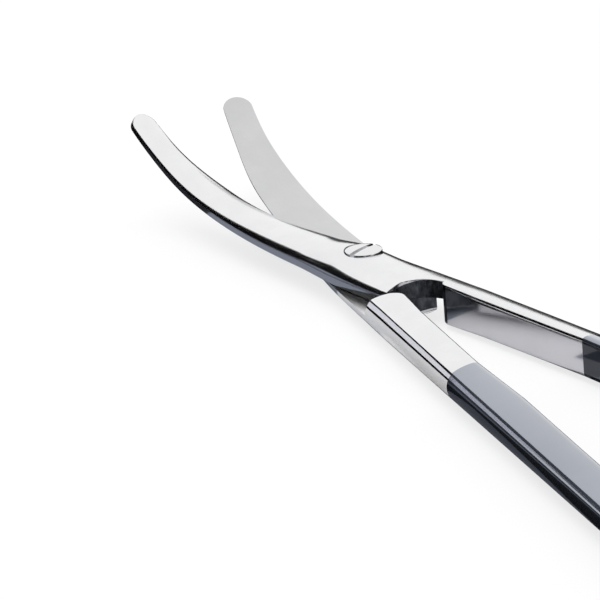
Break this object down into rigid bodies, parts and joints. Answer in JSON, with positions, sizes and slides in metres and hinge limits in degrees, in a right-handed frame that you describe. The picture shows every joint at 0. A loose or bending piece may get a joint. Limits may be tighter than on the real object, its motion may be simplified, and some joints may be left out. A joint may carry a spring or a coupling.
{
  "type": "scissors",
  "caption": "Curved blunt-tipped surgical scissors: two forged halves crossing at a slotted pivot screw, with long shanks, finger rings and dark glossy coated handles.",
  "frame": {"origin": "on the pivot axis, on the small flat under the joint, which is the lowest point", "axes": "+X along the middle between the two halves, from the joint to the tips; +Z along the pivot axis, towards the screw's head and the side the blades curve to"},
  "size_m": [0.1766, 0.0906, 0.0116],
  "materials": {
    "half_steel": "satin polish",
    "screw_steel": "bright polish",
    "dark_coat": "gloss"
  },
  "bodies": {
    "lower": {"lower_half": "half_steel", "lower_handle_coat": "dark_coat", "pivot_screw": "screw_steel"},
    "upper": {"upper_half": "half_steel", "upper_handle_coat": "dark_coat"}
  },
  "joints": [
    {"name": "pivot", "type": "hinge", "parent": "lower", "child": "upper", "pos_m": [0, 0, 0.00265], "axis": [0, 0, 1], "range_deg": [-16, 58]}
  ]
}
